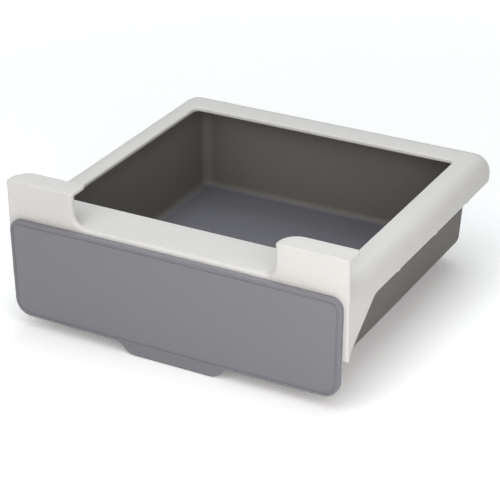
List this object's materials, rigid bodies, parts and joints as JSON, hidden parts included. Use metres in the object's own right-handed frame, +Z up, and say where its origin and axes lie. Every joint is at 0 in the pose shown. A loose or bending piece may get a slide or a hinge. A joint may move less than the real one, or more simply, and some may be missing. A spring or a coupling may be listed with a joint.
{
  "type": "under-shelf drawer",
  "caption": "Shallow drawer that slides in a rimmed frame hooked over a shelf's front edge, with a flat front panel and a finger pull below it.",
  "frame": {"origin": "on the rim's flat top, midway across and in line with the backs of the hooks", "axes": "-Y out of the drawer's front, +Z up, +X to the right for someone facing the front"},
  "size_m": [0.2482, 0.242, 0.1049],
  "materials": {
    "frame_plastic": "fine matt moulded white",
    "runner_plastic": "plain moulded white",
    "tray_plastic": "fine matt moulded grey",
    "panel_plastic": "fine matt moulded grey",
    "screw_steel": "zinc plated"
  },
  "bodies": {
    "frame": {"frame_shell": "frame_plastic", "left_runner": "runner_plastic", "right_runner": "runner_plastic"},
    "drawer": {"drawer_bin": "tray_plastic", "front_panel": "panel_plastic", "finger_pull": "panel_plastic", "panel_screws": "screw_steel", "pull_screws": "screw_steel", "left_stop": "runner_plastic", "right_stop": "runner_plastic"}
  },
  "joints": [
    {"name": "drawer_slide", "type": "slide", "parent": "frame", "child": "drawer", "axis": [0, -1, 0], "range_m": [0, 0.165]}
  ]
}
